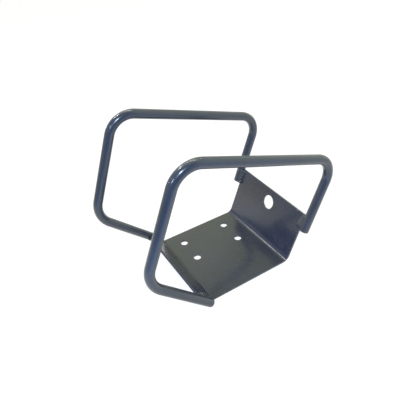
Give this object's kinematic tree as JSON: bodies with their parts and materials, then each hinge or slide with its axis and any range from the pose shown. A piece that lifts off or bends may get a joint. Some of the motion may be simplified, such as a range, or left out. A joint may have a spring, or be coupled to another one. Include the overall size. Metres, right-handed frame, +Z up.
{
  "type": "hoop guard bracket",
  "caption": "Folded steel mounting plate with a tall back flange and a short front lip, flanked on each side by a bent round-bar guard hoop welded to the flange and the lip.",
  "frame": {"origin": "centre of the base's underside, the face it bolts down on, on the mid-plane between the two hoops", "axes": "+X towards the right hoop, +Y towards the tall back flange, +Z up out of the base"},
  "size_m": [0.1656, 0.2728, 0.2248],
  "materials": {
    "plate_paint": "satin",
    "bar_paint": "gloss",
    "weld_paint": "gloss over a weld bead"
  },
  "bodies": {
    "root": {"base_plate": "plate_paint", "left_hoop": "bar_paint", "right_hoop": "bar_paint", "weld_back_left_inner": "weld_paint", "weld_back_left_outer": "weld_paint", "weld_back_right_inner": "weld_paint", "weld_back_right_outer": "weld_paint", "weld_lip_left_inner": "weld_paint", "weld_lip_left_outer": "weld_paint", "weld_lip_right_inner": "weld_paint", "weld_lip_right_outer": "weld_paint"}
  },
  "joints": []
}
